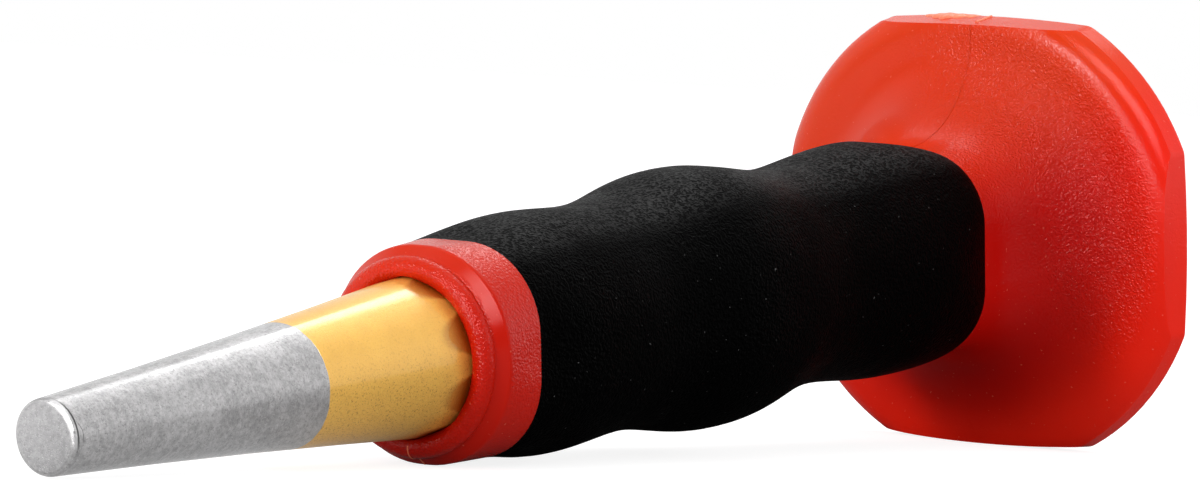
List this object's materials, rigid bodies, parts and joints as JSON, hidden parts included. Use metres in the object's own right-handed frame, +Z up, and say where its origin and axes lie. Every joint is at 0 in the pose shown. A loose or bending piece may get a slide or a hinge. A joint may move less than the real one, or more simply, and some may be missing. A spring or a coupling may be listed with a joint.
{
  "type": "taper punch",
  "caption": "Steel taper punch with an octagonal shank in a moulded hand-guard grip with a wide flared guard.",
  "frame": {"origin": "middle of the underside, on the surface the punch lies on", "axes": "+X towards the striking end along the floor, +Z up; the punch's own axis rises 7.1 degrees towards +X"},
  "size_m": [0.2496, 0.0696, 0.0661],
  "materials": {
    "steel": "forged, turned at the point, lacquered behind it",
    "red_plastic": "satin, finely grained",
    "black_rubber": "matt, leather grain"
  },
  "bodies": {
    "root": {"punch_bar": "steel", "guard_sleeve": "red_plastic", "soft_grip": "black_rubber"}
  },
  "joints": []
}
